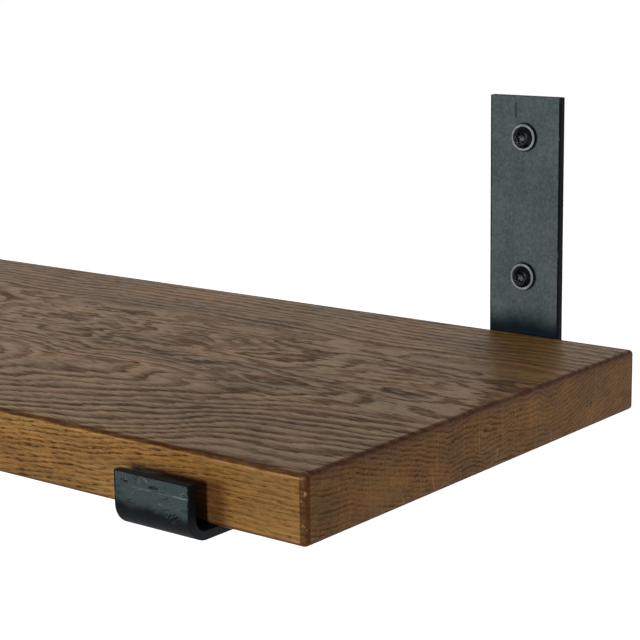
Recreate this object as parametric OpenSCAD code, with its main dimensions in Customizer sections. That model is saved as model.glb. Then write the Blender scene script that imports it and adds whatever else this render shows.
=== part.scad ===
// Bracket wall shelf: one oak board on two lipped brackets, each bent from a flat steel bar.
// Each bracket has a wall leg behind the board, a level leg under it and a short lip in front.
// Right is +X, the wall is the plane Y = 0 with the shelf in front of it at -Y, and up is +Z.
// The origin is on the wall, at the centre of the four wall screws. All sizes are in millimetres.

/* [Board] */
// Length of the board, along the wall
board_len = 800; // [560:10:1200]
// Depth of the board, out from the wall
board_depth = 250; // [200:5:300]
// Thickness of the board
board_thick = 29; // [25:1:40]
// Radius of the rounding along the board's top, bottom and end edges
edge_round = 2; // [1:0.5:4]
// Radius of the board's four upright corners
corner_round = 2.5; // [1:0.5:8]

/* [Brackets] */
// Width of the flat bar
bar_w = 40; // [30:1:60]
// Thickness of the flat bar
bar_t = 4; // [3:0.5:6]
// Inner radius of both bends
bend_r = 6; // [4:0.5:9]
// Height of a bracket from the underside of its level leg to the top of its wall leg
bracket_h = 150; // [140:2:220]
// Height of the front lip from the underside of the level leg
lip_h = 24; // [16:1:36]
// Gap between the board's front edge and the lip
lip_gap = 11; // [8:1:25]
// Distance from each end of the board to the near side of its bracket
bracket_inset = 45; // [10:1:120]
// Gap between the start of the rear bend and the start of the board's rounding
bend_gap = 0.5; // [0:0.1:2]

/* [Wall screws] */
// Distance from the top of a wall leg down to its top screw
top_screw_drop = 20; // [12:1:30]
// Distance between the two screws of a wall leg
screw_pitch = 69; // [50:1:78]
// Diameter of a wall screw over its thread
wall_screw_d = 6; // [5:0.5:7]
// Length of a wall screw under its head
wall_screw_len = 35; // [30:1:80]
// Length of a wall screw's smooth shank past the wall's face
wall_smooth = 10; // [6:1:16]
// How much thinner that smooth shank is than the thread, on the radius
shank_relief = 0.2; // [0.2:0.05:0.4]
// Diameter of a wall screw's head
head_d = 10.8; // [10:0.2:12.6]
// Height of a wall screw's domed head
head_h = 2.4; // [2:0.1:4]
// Height of the upright rim around a domed head
head_rim = 0.4; // [0.2:0.1:1]
// Diameter of the flat on top of a domed head
head_flat_d = 6.6; // [6:0.1:8]
// Diameter of the six-lobe recess over its lobes
recess_d = 5.6; // [4:0.1:5.8]
// Metal left under the recess
recess_floor = 0.5; // [0.3:0.1:1]
// Outer diameter of a washer
washer_d = 13.4; // [13:0.2:20]
// Thickness of a washer
washer_t = 1.9; // [1:0.1:3]
// Clearance of a washer over its screw, on the diameter
washer_clear = 0.4; // [0.2:0.1:1]
// Clearance of a wall leg's hole over its screw, on the diameter
hole_clear = 1; // [0.4:0.1:2]

/* [Shelf screws] */
// Diameter of a shelf screw over its thread
shelf_screw_d = 4.5; // [3.5:0.5:5]
// Length of a shelf screw under its head
shelf_screw_len = 24; // [16:1:27]
// Diameter of a shelf screw's head
shelf_head_d = 9; // [8:0.5:11]
// Height of a shelf screw's domed head
shelf_head_h = 2.6; // [2.2:0.1:3.5]
// Diameter of the flat on top of a shelf screw's head
shelf_head_flat_d = 5; // [4.6:0.1:6]
// Diameter of a shelf screw's six-lobe recess over its lobes
shelf_recess_d = 4; // [3:0.1:4.4]
// Distance from the board's front and back edges to the shelf screws
shelf_screw_inset = 50; // [30:1:90]
// Clearance of a level leg's hole over its screw, on the diameter
shelf_hole_clear = 1; // [0.4:0.1:2]
// Clearance of the board's pilot holes over the thread, on the radius
pilot_clear = 0.05; // [0.02:0.01:0.2]
// Depth left in a pilot hole past the tip of its screw
pilot_spare = 1; // [0.5:0.1:1.5]

/* [Threads] */
// Distance between the turns of a wall screw's thread
wall_thread_pitch = 2.4; // [1.8:0.1:3.5]
// Distance between the turns of a shelf screw's thread
shelf_thread_pitch = 1.8; // [1.4:0.1:2.5]
// Depth of a thread, as a share of the screw's diameter
thread_share = 0.14; // [0.08:0.01:0.2]
// Length of a screw's tip, as a share of the screw's diameter
tip_share = 0.9; // [0.6:0.1:1.5]

/* [Hidden] */
$fn = 96;

// A cut runs this far past the faces that it goes through
cut = 1;
// Radius of one lobe, as a share of a six-lobe recess over its lobes
lobe_share = 0.11;
// How far the recess draws in between its lobes, as a share of a lobe's radius
waist_share = 1.2;
// Where a thread's root starts and ends and where its crest stands, as shares of its pitch
root_start = 0.25;
root_end = 0.5;
crest_at = 0.75;
// The two ends of the shelf, as signs of X
right = 1;
left = -1;
// The two screws of a wall leg, as signs of Z
top = 1;
low = -1;

// Places along the wall
bracket_x = board_len / 2 - bracket_inset - bar_w / 2;

// Heights, from the centre of the wall screws
leg_top_z = screw_pitch / 2 + top_screw_drop;
under_z = leg_top_z - bracket_h;
board_z = under_z + bar_t;

// Distances out from the wall
bend_outer_r = bend_r + bar_t;
board_back_y = -(bend_outer_r + bend_gap - edge_round);
board_front_y = board_back_y - board_depth;
lip_front_y = board_front_y - lip_gap - bar_t;
front_screw_y = board_front_y + shelf_screw_inset;
back_screw_y = board_back_y - shelf_screw_inset;

// A rectangle centred on the origin, with rounded corners
module round_rect(size, radius) {
    square([size.x - 2 * radius, size.y], center = true);
    square([size.x, size.y - 2 * radius], center = true);
    for (sx = [-1, 1], sy = [-1, 1])
        translate([sx * (size.x / 2 - radius), sy * (size.y / 2 - radius)])
            circle(radius);
}

// The bare board, centred on the origin, with every edge rounded
module board_blank() {
    intersection() {
        linear_extrude(board_thick, center = true)
            round_rect([board_len, board_depth], corner_round);
        rotate([90, 0, 0])
            linear_extrude(board_depth, center = true)
                round_rect([board_len, board_thick], edge_round);
        rotate([90, 0, 90])
            linear_extrude(board_len, center = true)
                round_rect([board_depth, board_thick], edge_round);
    }
}

// A quarter of a bend in a bracket's side view, centred on the origin, in the quarter towards
// the floor and the given side
module bend_quarter(side) {
    intersection() {
        difference() {
            circle(bend_outer_r);
            circle(bend_r);
        }
        translate([side > 0 ? 0 : -bend_outer_r, -bend_outer_r])
            square(bend_outer_r);
    }
}

// Side view of a bracket, with Y to the right and Z up
module bracket_profile() {
    bend_z = under_z + bend_outer_r;
    translate([-bar_t, bend_z])
        square([bar_t, leg_top_z - bend_z]);
    translate([-bend_outer_r, bend_z])
        bend_quarter(1);
    translate([lip_front_y + bend_outer_r, under_z])
        square([-lip_front_y - 2 * bend_outer_r, bar_t]);
    translate([lip_front_y + bend_outer_r, bend_z])
        bend_quarter(-1);
    translate([lip_front_y, bend_z])
        square([bar_t, lip_h - bend_outer_r]);
}

// Puts its children at a wall screw's axis on the wall, with their +Z going into the wall
module at_wall_screw(side, row) {
    translate([side * bracket_x, 0, row * screw_pitch / 2])
        rotate([-90, 0, 0])
            children();
}

// Puts its children at a shelf screw's axis under a level leg, with their +Z going up
module at_shelf_screw(side, y) {
    translate([side * bracket_x, y, under_z])
        children();
}

// A bracket, with its holes for two wall screws and two shelf screws
module bracket(side) {
    difference() {
        translate([side * bracket_x - bar_w / 2, 0, 0])
            rotate([90, 0, 90])
                linear_extrude(bar_w)
                    bracket_profile();
        for (row = [top, low])
            at_wall_screw(side, row)
                translate([0, 0, -bar_t - cut])
                    cylinder(d = wall_screw_d + hole_clear, h = bar_t + 2 * cut);
        for (y = [front_screw_y, back_screw_y])
            at_shelf_screw(side, y)
                translate([0, 0, -cut])
                    cylinder(d = shelf_screw_d + shelf_hole_clear, h = bar_t + 2 * cut);
    }
}

// A six-lobe recess, seen along the screw
module six_lobe(over_lobes) {
    lobe_r = over_lobes * lobe_share;
    circle(over_lobes / 2 - waist_share * lobe_r);
    for (turn = [0 : 60 : 300])
        rotate(turn)
            translate([over_lobes / 2 - lobe_r, 0])
                circle(lobe_r);
}

// A domed screw head under the plane Z = 0, with its recess open at the bottom
module domed_head(d, h, rim, flat_d, recess) {
    centre_z = ((pow(d, 2) - pow(flat_d, 2)) / 4 + pow(rim, 2) - pow(h, 2)) / (2 * (h - rim));
    dome_r = sqrt(pow(d / 2, 2) + pow(centre_z + rim, 2));
    difference() {
        intersection() {
            translate([0, 0, -h])
                cylinder(d = d, h = h);
            translate([0, 0, centre_z])
                sphere(dome_r);
        }
        translate([0, 0, -h - cut])
            linear_extrude(h - recess_floor + cut)
                six_lobe(recess);
    }
}

// A screw's shank from the plane Z = 0: a collar in the parts that it holds, then a slightly
// thinner smooth stretch if it has one, and then thread up to its tip
module threaded_shank(d, len, collar, smooth, pitch) {
    core_r = d / 2 - thread_share * d;
    tip_len = tip_share * d;
    turns = floor((len - tip_len - smooth) / pitch);
    rotate_extrude()
        polygon([
            [0, 0],
            [d / 2, 0],
            [d / 2, collar],
            if (smooth > collar)
                each [
                    [d / 2 - shank_relief, collar],
                    [d / 2 - shank_relief, smooth],
                ],
            for (turn = [0 : turns - 1])
                each [
                    [core_r, smooth + (turn + root_start) * pitch],
                    [core_r, smooth + (turn + root_end) * pitch],
                    [d / 2, smooth + (turn + crest_at) * pitch],
                ],
            [core_r, smooth + (turns + root_start) * pitch],
            [core_r, len - tip_len],
            [0, len],
        ]);
}

// A wall screw, whose head bears on the front of its washer
module wall_screw(side, row) {
    collar = washer_t + bar_t;
    smooth = collar + wall_smooth;
    color("#15191d")
        at_wall_screw(side, row)
            translate([0, 0, -collar]) {
                domed_head(head_d, head_h, head_rim, head_flat_d, recess_d);
                threaded_shank(wall_screw_d, wall_screw_len, collar, smooth, wall_thread_pitch);
            }
}

// A washer, flat on the front of a wall leg
module wall_washer(side, row) {
    color("#868f90")
        at_wall_screw(side, row)
            translate([0, 0, -bar_t - washer_t])
                difference() {
                    cylinder(d = washer_d, h = washer_t);
                    translate([0, 0, -cut])
                        cylinder(d = wall_screw_d + washer_clear, h = washer_t + 2 * cut);
                }
}

// A shelf screw, driven up through a level leg into the board
module shelf_screw(side, y) {
    color("#15191d")
        at_shelf_screw(side, y) {
            domed_head(shelf_head_d, shelf_head_h, head_rim, shelf_head_flat_d, shelf_recess_d);
            threaded_shank(shelf_screw_d, shelf_screw_len, bar_t, bar_t, shelf_thread_pitch);
        }
}

// The board, with its pilot holes for the shelf screws
module board() {
    pilot_depth = shelf_screw_len - bar_t + pilot_spare;
    color("#7c5229")
        difference() {
            translate([0, (board_back_y + board_front_y) / 2, board_z + board_thick / 2])
                board_blank();
            for (side = [right, left], y = [front_screw_y, back_screw_y])
                at_shelf_screw(side, y)
                    translate([0, 0, bar_t - cut])
                        cylinder(r = shelf_screw_d / 2 + pilot_clear, h = pilot_depth + cut);
        }
}

module bracket_right() {
    color("#485354") bracket(right);
}

module bracket_left() {
    color("#485354") bracket(left);
}

board();
bracket_right();
bracket_left();
wall_screw(right, top);  // wall_screw_right_top
wall_screw(right, low);  // wall_screw_right_low
wall_screw(left, top);  // wall_screw_left_top
wall_screw(left, low);  // wall_screw_left_low
wall_washer(right, top);  // wall_washer_right_top
wall_washer(right, low);  // wall_washer_right_low
wall_washer(left, top);  // wall_washer_left_top
wall_washer(left, low);  // wall_washer_left_low
shelf_screw(right, front_screw_y);  // shelf_screw_right_front
shelf_screw(right, back_screw_y);  // shelf_screw_right_back
shelf_screw(left, front_screw_y);  // shelf_screw_left_front
shelf_screw(left, back_screw_y);  // shelf_screw_left_back
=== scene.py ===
"""Dresses the bracket wall shelf: an oak board on two bent flat-bar brackets, with its fixings.

Lengths are in metres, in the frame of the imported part: +X runs along the shelf to its right-hand
end, +Y goes into the wall and +Z is up. Only the patterns of the finishes are in millimetres.
"""

import logging
import math
from dataclasses import dataclass
from enum import Enum
from typing import Sequence, Union

import bmesh
import bpy
from mathutils import Matrix, Vector

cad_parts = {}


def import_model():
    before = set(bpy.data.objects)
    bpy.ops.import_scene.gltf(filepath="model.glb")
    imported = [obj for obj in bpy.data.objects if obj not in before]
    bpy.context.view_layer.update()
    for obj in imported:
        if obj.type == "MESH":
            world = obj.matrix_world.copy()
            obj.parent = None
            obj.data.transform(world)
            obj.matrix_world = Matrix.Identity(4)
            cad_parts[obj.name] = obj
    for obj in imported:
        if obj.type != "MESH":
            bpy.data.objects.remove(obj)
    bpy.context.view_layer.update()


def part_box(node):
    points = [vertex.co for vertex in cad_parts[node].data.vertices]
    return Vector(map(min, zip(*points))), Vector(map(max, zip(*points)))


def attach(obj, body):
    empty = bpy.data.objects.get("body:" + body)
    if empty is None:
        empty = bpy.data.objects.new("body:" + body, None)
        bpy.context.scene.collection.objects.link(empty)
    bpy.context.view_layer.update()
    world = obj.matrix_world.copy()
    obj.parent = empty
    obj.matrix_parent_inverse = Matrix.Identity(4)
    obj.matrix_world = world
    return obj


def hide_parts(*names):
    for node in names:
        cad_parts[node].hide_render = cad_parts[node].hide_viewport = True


MM = 0.001
QUARTER_TURN = math.radians(90)
INTO_WALL = Vector((0.0, 1.0, 0.0))
UP = Vector((0.0, 0.0, 1.0))
BODY = "root"
LOG = logging.getLogger("wall_shelf")

Colour = tuple[float, float, float, float]
Given = Union[float, Sequence[float], bpy.types.NodeSocket, "Reading"]
WHITE: Colour = (1.0, 1.0, 1.0, 1.0)

# In millimetres: how far out a bracket's middle is, and how far up or down its wall screws are.
BRACKET_X = 335.0
SCREW_Z = 34.5


def tint(red: float, green: float, blue: float) -> Colour:
    """Turns a display colour into the linear colour that a shader takes.

    Args:
        red: Red, from 0 to 255.
        green: Green, from 0 to 255.
        blue: Blue, from 0 to 255.

    Returns:
        The linear colour, opaque.
    """

    def linear(value: float) -> float:
        """Undoes the display curve for one channel."""
        share = value / 255
        return share / 12.92 if share <= 0.04045 else ((share + 0.055) / 1.055) ** 2.4

    return (linear(red), linear(green), linear(blue), 1.0)


class Slot(Enum):
    """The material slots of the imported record."""

    OAK = "oak"
    COAT = "bracket_coat"
    SCREW = "black_screw"
    WASHER = "washer_steel"


class Mask(Enum):
    """Paint masks that the meshes carry at their points."""

    STAIN = "stain"
    ARRIS = "arris"
    CUT_EDGE = "cut_edge"


class Side(Enum):
    """The two ends of the shelf, as signs of X."""

    RIGHT = 1
    LEFT = -1


class Reading:
    """A number or colour that changes over a surface, and adds up like a plain number."""

    def __init__(self, nodes: "Nodes", socket: bpy.types.NodeSocket) -> None:
        """Takes the output of a node in a tree."""
        self.nodes = nodes
        self.socket = socket

    def __add__(self, other: Given) -> "Reading":
        """Adds a number."""
        return self.nodes.maths("ADD", self, other)

    def __sub__(self, other: Given) -> "Reading":
        """Takes a number away."""
        return self.nodes.maths("SUBTRACT", self, other)

    def __rsub__(self, other: Given) -> "Reading":
        """Takes this away from a number."""
        return self.nodes.maths("SUBTRACT", other, self)

    def __mul__(self, other: Given) -> "Reading":
        """Multiplies by a number."""
        return self.nodes.maths("MULTIPLY", self, other)

    def __truediv__(self, other: Given) -> "Reading":
        """Divides by a number."""
        return self.nodes.maths("DIVIDE", self, other)

    def __abs__(self) -> "Reading":
        """Drops the sign."""
        return self.nodes.maths("ABSOLUTE", self)

    __radd__ = __add__
    __rmul__ = __mul__

    def remap(
        self, start: float, end: float, low: float, high: float, kind: str = "LINEAR"
    ) -> "Reading":
        """Turns the range from start to end into that from low to high, held at both ends."""
        ranges = {"From Min": start, "From Max": end, "To Min": low, "To Max": high}
        return self.nodes.read(
            "ShaderNodeMapRange", {"Value": self, **ranges}, interpolation_type=kind
        )

    def step(self, start: float, end: float, low: float = 0.0) -> "Reading":
        """Goes smoothly from low at start to 1 at end, which may be the lower of the two."""
        return self.remap(start, end, low, 1.0, "SMOOTHSTEP")


class Nodes:
    """The node tree of a material or a world, with a short call for each kind of node."""

    def __init__(self, owner: Union[bpy.types.Material, bpy.types.World]) -> None:
        """Clears the owner's tree.

        Args:
            owner: The material or the world.
        """
        self.owner = owner
        self.owner.use_nodes = True
        self.tree = owner.node_tree
        self.tree.nodes.clear()

    def node(self, kind: str, inputs: dict, **settings: object) -> bpy.types.Node:
        """Adds a node.

        Args:
            kind: The node's type.
            inputs: What goes into its sockets, by name or number.
            **settings: The node's own properties.

        Returns:
            The new node.
        """
        made = self.tree.nodes.new(kind)
        for key, value in settings.items():
            setattr(made, key, value)
        for key, value in inputs.items():
            if isinstance(value, Reading):
                value = value.socket
            if isinstance(value, bpy.types.NodeSocket):
                self.tree.links.new(value, made.inputs[key])
            else:
                made.inputs[key].default_value = value
        return made

    def read(
        self, kind: str, inputs: dict, output: Union[int, str] = 0, **settings: object
    ) -> Reading:
        """Adds a node and reads one of its outputs, which is given by name or number."""
        return Reading(self, self.node(kind, inputs, **settings).outputs[output])

    def maths(self, operation: str, *values: Given) -> Reading:
        """Works out one number from up to three."""
        return self.read("ShaderNodeMath", dict(enumerate(values)), operation=operation)

    def split(self, vector: Given) -> list[Reading]:
        """Takes a vector apart into X, Y and Z."""
        outputs = self.node("ShaderNodeSeparateXYZ", {0: vector}).outputs
        return [Reading(self, socket) for socket in outputs]

    def finish(self, inputs: dict) -> bpy.types.Material:
        """Ends the tree in one physical surface and gives the finished material."""
        self.node("ShaderNodeOutputMaterial", {0: self.read("ShaderNodeBsdfPrincipled", inputs)})
        return self.owner


class Bench(Nodes):
    """The node tree of one finish, with what it can tell about each point of a surface.

    Attributes:
        place: Where the point is, in metres.
        x: Its X, in millimetres, like y, z and aside.
        y: Its Y.
        z: Its Z.
        aside: How far it is from the middle of the shelf, to either side.
        level: 1 on faces that look up or down, 0 on upright ones.
        endwise: 1 on faces that look along the shelf, 0 on the others.
    """

    def __init__(self, slot: Slot) -> None:
        """Starts the material of a slot.

        Args:
            slot: The slot.
        """
        super().__init__(bpy.data.materials.new(slot.value))
        coordinates = self.node("ShaderNodeTexCoord", {}).outputs
        self.place = Reading(self, coordinates["Object"])
        self.x, self.y, self.z = self.split(self.scaled(self.place, (1 / MM,) * 3))
        facing_x, _, facing_z = self.split(coordinates["Normal"])
        self.aside, self.level, self.endwise = abs(self.x), abs(facing_z), abs(facing_x)

    def scaled(self, place: Given, scale: Sequence[float], shift: float = 0.0) -> Reading:
        """Stretches a place by a factor along each axis, and then shifts it along all three."""
        inputs = {"Vector": place, "Scale": tuple(scale), "Location": (shift,) * 3}
        return self.read("ShaderNodeMapping", inputs)

    def blend(self, amount: Given, under: Given, over: Given, mode: str = "MIX") -> Reading:
        """Lays one colour over another, which shows through where the amount is less than 1."""
        inputs = {0: amount, 6: under, 7: over}
        return self.read("ShaderNodeMix", inputs, 2, data_type="RGBA", blend_type=mode)

    def coats(self, base: Given, *layers: tuple[Given, Given]) -> Given:
        """Lays colours over a base, one after another.

        Args:
            base: The colour at the bottom.
            *layers: How much of each colour shows, from 0 to 1, and the colour.

        Returns:
            The colour that results.
        """
        for amount, colour in layers:
            base = self.blend(amount, base, colour)
        return base

    def cloud(
        self,
        size: Sequence[float],
        detail: float = 2.0,
        roughness: float = 0.5,
        warp: float = 0.0,
        shift: float = 0.0,
        lean: Given = 0.0,
    ) -> Reading:
        """Makes smooth noise around 0.5 in the solid.

        Args:
            size: The size of its features along X, Y and Z, in millimetres.
            detail: How many finer layers it has.
            roughness: How strong the finer layers are.
            warp: How much it is twisted.
            shift: A number that gives each use its own pattern.
            lean: How far along Y it is shifted, in millimetres.

        Returns:
            The noise.
        """
        place = self.place
        if isinstance(lean, Reading):
            offset = self.read("ShaderNodeCombineXYZ", {1: lean * MM})
            place = self.read("ShaderNodeVectorMath", {0: place, 1: offset}, operation="ADD")
        inputs = {
            "Vector": self.scaled(place, [1 / (MM * side) for side in size], shift),
            "Scale": 1.0,
            "Detail": detail,
            "Roughness": roughness,
            "Distortion": warp,
        }
        return self.read("ShaderNodeTexNoise", inputs)

    def mask(self, name: Mask) -> Reading:
        """Reads a paint mask from the mesh."""
        settings = {"attribute_name": name.value, "attribute_type": "GEOMETRY"}
        return self.read("ShaderNodeAttribute", {}, "Fac", **settings)

    def relief(self, height: Reading, depth: float) -> Reading:
        """Turns a height into a bumpy normal, with the depth that a height of 1 stands for."""
        return self.read("ShaderNodeBump", {"Strength": 1.0, "Distance": depth, "Height": height})


@dataclass(frozen=True)
class OakFinish:
    """Oak, stained brown under satin lacquer: one solid block of grain that every face cuts.

    The growth rings are almost flat sheets that rise towards the front and the back, as in a
    board sawn beside the pith. The top cuts them in lines and islands, the edges in rows.
    Sizes and places are in millimetres.

    Attributes:
        pale: The dense late wood.
        dark: The open pores of the early wood.
        deep: Stain that has gathered along the rounded edges; also the colour of the painted shade
            around each lip.
        worn: Bare spots on the stained edges, and the light line along the upper front and back
            edges, which is partly wear and partly painted highlight.
        ray: The pale rays that cross the growth rings.
        end_tone: What the end grain multiplies these colours by, as it drinks more stain.
        ring: The width of a growth ring.
        front_rise: How far behind the front edge the rings start to rise towards it, and how
            steeply.
        back_rise: How far behind that edge they start to rise to the back, and how steeply.
        front: The Y of the board's front edge.
        end: The X of the board's right-hand end.
        top: The Z of the board's top.
        gloss: The roughness of the lacquer.
    """

    pale: Colour = tint(143, 103, 52)
    dark: Colour = tint(60, 36, 13)
    deep: Colour = tint(58, 27, 11)
    worn: Colour = tint(176, 138, 92)
    ray: Colour = tint(172, 136, 86)
    end_tone: Colour = tint(219, 206, 179)
    ring: float = 2.2
    front_rise: tuple[float, float] = (95.0, 0.25)
    back_rise: tuple[float, float] = (172.0, 0.36)
    front: float = -258.5
    end: float = 400.0
    top: float = -62.5
    gloss: float = 0.27

    def ring_count(self, bench: Bench) -> Reading:
        """Counts growth rings through the block.

        Args:
            bench: The node tree.

        Returns:
            The number of rings below a point, with its fraction.
        """
        depth = bench.y - self.front
        from_end = self.end - bench.x
        start, slope = self.front_rise
        rise = bench.maths("MAXIMUM", start - depth, 0.0) * slope
        start, slope = self.back_rise
        rise += bench.maths("MAXIMUM", depth - start, 0.0) * slope
        in_front = depth.step(120.0, 65.0)
        in_back = depth.step(160.0, 195.0)
        slant = from_end.remap(95.0, 395.0, 0.0, -19.0)
        swirl = from_end.step(115.0, 55.0) * 6.0
        lively = 1.0 - in_front * 0.62 - in_back * 0.66
        sway = bench.cloud((260, 170, 900), 1.0, shift=3.7) * 20.0
        arch = bench.cloud((95, 38, 70), 1.0, 0.5, 0.3, shift=11.3) * 16.0
        curl = bench.cloud((38, 14, 20), 2.0, 0.5, 0.5, shift=5.1) * 7.0
        shred = bench.cloud((16, 2.6, 2.6), 2.0, 0.6, shift=16.2) * 2.4
        fray = bench.cloud((9, 1.6, 1.6), 2.0, 0.6, shift=8.9) * 1.1
        smooth = bench.endwise.remap(0.5, 0.95, 1.0, 0.4)
        height = rise + in_front * (slant + swirl) + sway + fray * smooth
        height += lively * (arch + curl + shred * smooth)
        return (bench.z - height) / self.ring

    def on_front(self, bench: Bench) -> Reading:
        """Finds the front edge of the board."""
        return bench.y.step(self.front + 1.5, self.front + 0.5)

    def pores(self, bench: Bench) -> Reading:
        """Finds the open pores: short dashes along the grain, dense in each ring's early wood.

        Args:
            bench: The node tree.

        Returns:
            How open the wood is, from 0 to 1.
        """
        count = self.ring_count(bench)
        phase = bench.maths("FRACT", count)
        year = bench.maths("FLOOR", count)
        luck = bench.read("ShaderNodeTexWhiteNoise", {"W": year}, noise_dimensions="1D")
        early = bench.maths("MAXIMUM", phase.step(0.72, 0.1), phase.step(0.86, 1.0))
        early *= luck.remap(0.0, 1.0, 0.55, 1.0)
        on_top = bench.cloud((15, 1.1, 1.1), 2.0, 0.6, shift=2.2).step(0.38, 0.6)
        on_sides = bench.cloud((3.4, 8, 0.7), 2.0, 0.6, shift=2.9).step(0.42, 0.58)
        dashes = bench.level * on_top + (1.0 - bench.level) * on_sides
        strays = bench.cloud((7, 1.2, 0.8), 2.0, 0.6, shift=6.4).step(0.52, 0.7)
        steady = bench.level.remap(0.0, 1.0, 0.28, 0.6)
        early *= steady + dashes * (1.0 - steady)
        early *= bench.y.remap(-75.0, -55.0, 1.0, 0.82)
        early *= 1.0 - bench.aside.step(345.0, 375.0) * self.on_front(bench) * 0.3
        return bench.maths("MINIMUM", early + strays * 0.5, 1.0)

    def rays(self, bench: Bench) -> Reading:
        """Finds the rays: thin upright sheets along the grain, seen as lines on the ends.

        Args:
            bench: The node tree.

        Returns:
            How much of a ray shows, from 0 to 1.
        """
        wave = bench.cloud((400, 34, 24), 2.0, 0.6, shift=14.8) * 11.0
        sheets = bench.cloud((60, 1.3, 34), 1.0, 0.4, shift=9.2, lean=wave)
        groups = bench.cloud((300, 26, 60), 1.0, shift=20.3).step(0.4, 0.6)
        seen = sheets.step(0.6, 0.68) * (groups + 0.35) * bench.level.remap(0.0, 1.0, 1.0, 0.25)
        flecks = bench.cloud((3.4, 1.6, 1.1), 1.0, shift=4.6).step(0.62, 0.74)
        return bench.maths("MAXIMUM", seen, flecks * 0.5)

    def lip_shadow(self, bench: Bench) -> Reading:
        """Paints shade on the front edge around each lip, where the lip casts its shadow.

        Args:
            bench: The node tree.

        Returns:
            How dark it is, from 0 to 1.
        """
        beside = abs(bench.aside - BRACKET_X).step(30.0, 21.0)
        low = bench.z.step(self.top - 8.0, self.top - 12.5)
        return self.on_front(bench) * beside * low * 0.78

    def shade(self, bench: Bench, fibres: Reading, patches: Reading) -> Reading:
        """Shades the wood along its fibres, in patches, and towards the end and the wall.

        Args:
            bench: The node tree.
            fibres: The noise of the fibres.
            patches: The noise of the patches.

        Returns:
            The colour that the wood is multiplied by.
        """
        tone = fibres.remap(0.3, 0.7, -0.3, 0.3) + patches.remap(0.3, 0.7, 0.7, 1.24)
        tone *= bench.aside.remap(290.0, self.end, 1.0, 0.92)
        tone *= bench.y.remap(-95.0, -40.0, 1.0, 0.9)
        warmth = bench.cloud((50, 22, 16), shift=21.7).remap(0.35, 0.65, -0.05, 0.05)
        channels = {0: tone * (1.0 + warmth), 1: tone, 2: tone * (1.0 - warmth)}
        return bench.read("ShaderNodeCombineColor", channels)

    def build(self) -> bpy.types.Material:
        """Makes the material.

        Returns:
            The material.
        """
        bench = Bench(Slot.OAK)
        pores = self.pores(bench)
        fibres = bench.cloud((14, 0.9, 0.7), 3.0, 0.65, shift=1.1)
        patches = bench.cloud((90, 26, 20), 3.0, 0.6, shift=7.5)
        end_grain = bench.endwise.step(0.5, 0.95)
        clusters = bench.cloud((60, 24, 16), shift=18.8).remap(0.4, 0.6, 0.14, 0.78)
        clusters *= bench.y.remap(-140.0, -60.0, 1.0, 0.3)
        open_grain = pores * (1.0 - end_grain * (1.0 - clusters))
        wood = bench.coats(self.pale, (open_grain, self.dark), (self.rays(bench) * 0.58, self.ray))
        wood = bench.blend(1.0, wood, self.shade(bench, fibres, patches), "MULTIPLY")
        wood = bench.blend(end_grain, wood, self.end_tone, "MULTIPLY")
        blotches = bench.cloud((40, 9, 4.5), 3.0, 0.6, shift=17.7).step(0.44, 0.7)
        drunk = blotches * 0.34 + bench.y.remap(-250.0, -180.0, 0.1, 0.0)
        under_top = bench.z.step(self.top - 6.0, self.top - 2.0)
        smudge = bench.cloud((9, 3, 3), 3.0, 0.6, shift=12.4)
        stain = bench.mask(Mask.STAIN).step(0.1, 0.9) * smudge.remap(0.3, 0.7, 1.0, 0.6)
        spots = bench.cloud((1.8, 1.8, 3.0), 2.0, 0.6, shift=13.9).step(0.64, 0.7)
        # The light line along the upper front and back edges is partly wear and partly painted
        # highlight.
        rubbed = bench.mask(Mask.ARRIS) * smudge.remap(0.35, 0.65, 0.15, 0.8)
        wear_and_highlight = bench.maths("MAXIMUM", rubbed, stain * bench.level.step(0.3, 0.05) * spots * 0.8)
        wood = bench.coats(
            wood,
            (end_grain * drunk, self.dark),
            (end_grain * under_top * 0.4, self.deep),
            (stain, self.deep),
            # Painted shade on the front edge around each lip.
            (self.lip_shadow(bench) * smudge.remap(0.3, 0.7, 1.0, 0.8), self.deep),
            (wear_and_highlight, self.worn),
        )
        height = fibres * 0.35 - pores * 0.8
        shine = (pores - patches * 0.8).remap(-0.4, 0.4, 0.165, 0.0)
        shine *= bench.y.remap(-110.0, -40.0, 1.0, 0.8)
        return bench.finish(
            {
                "Base Color": wood,
                "Roughness": pores.remap(0.0, 1.0, 0.5, 0.72),
                "Specular IOR Level": 0.1,
                "Normal": bench.relief(height, 0.1 * MM),
                "Coat Weight": shine * stain.remap(0.0, 1.0, 1.0, 0.3),
                "Coat Roughness": self.gloss,
                "Coat IOR": 1.5,
                "Coat Normal": bench.relief(height, 0.03 * MM),
            }
        )


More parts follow.
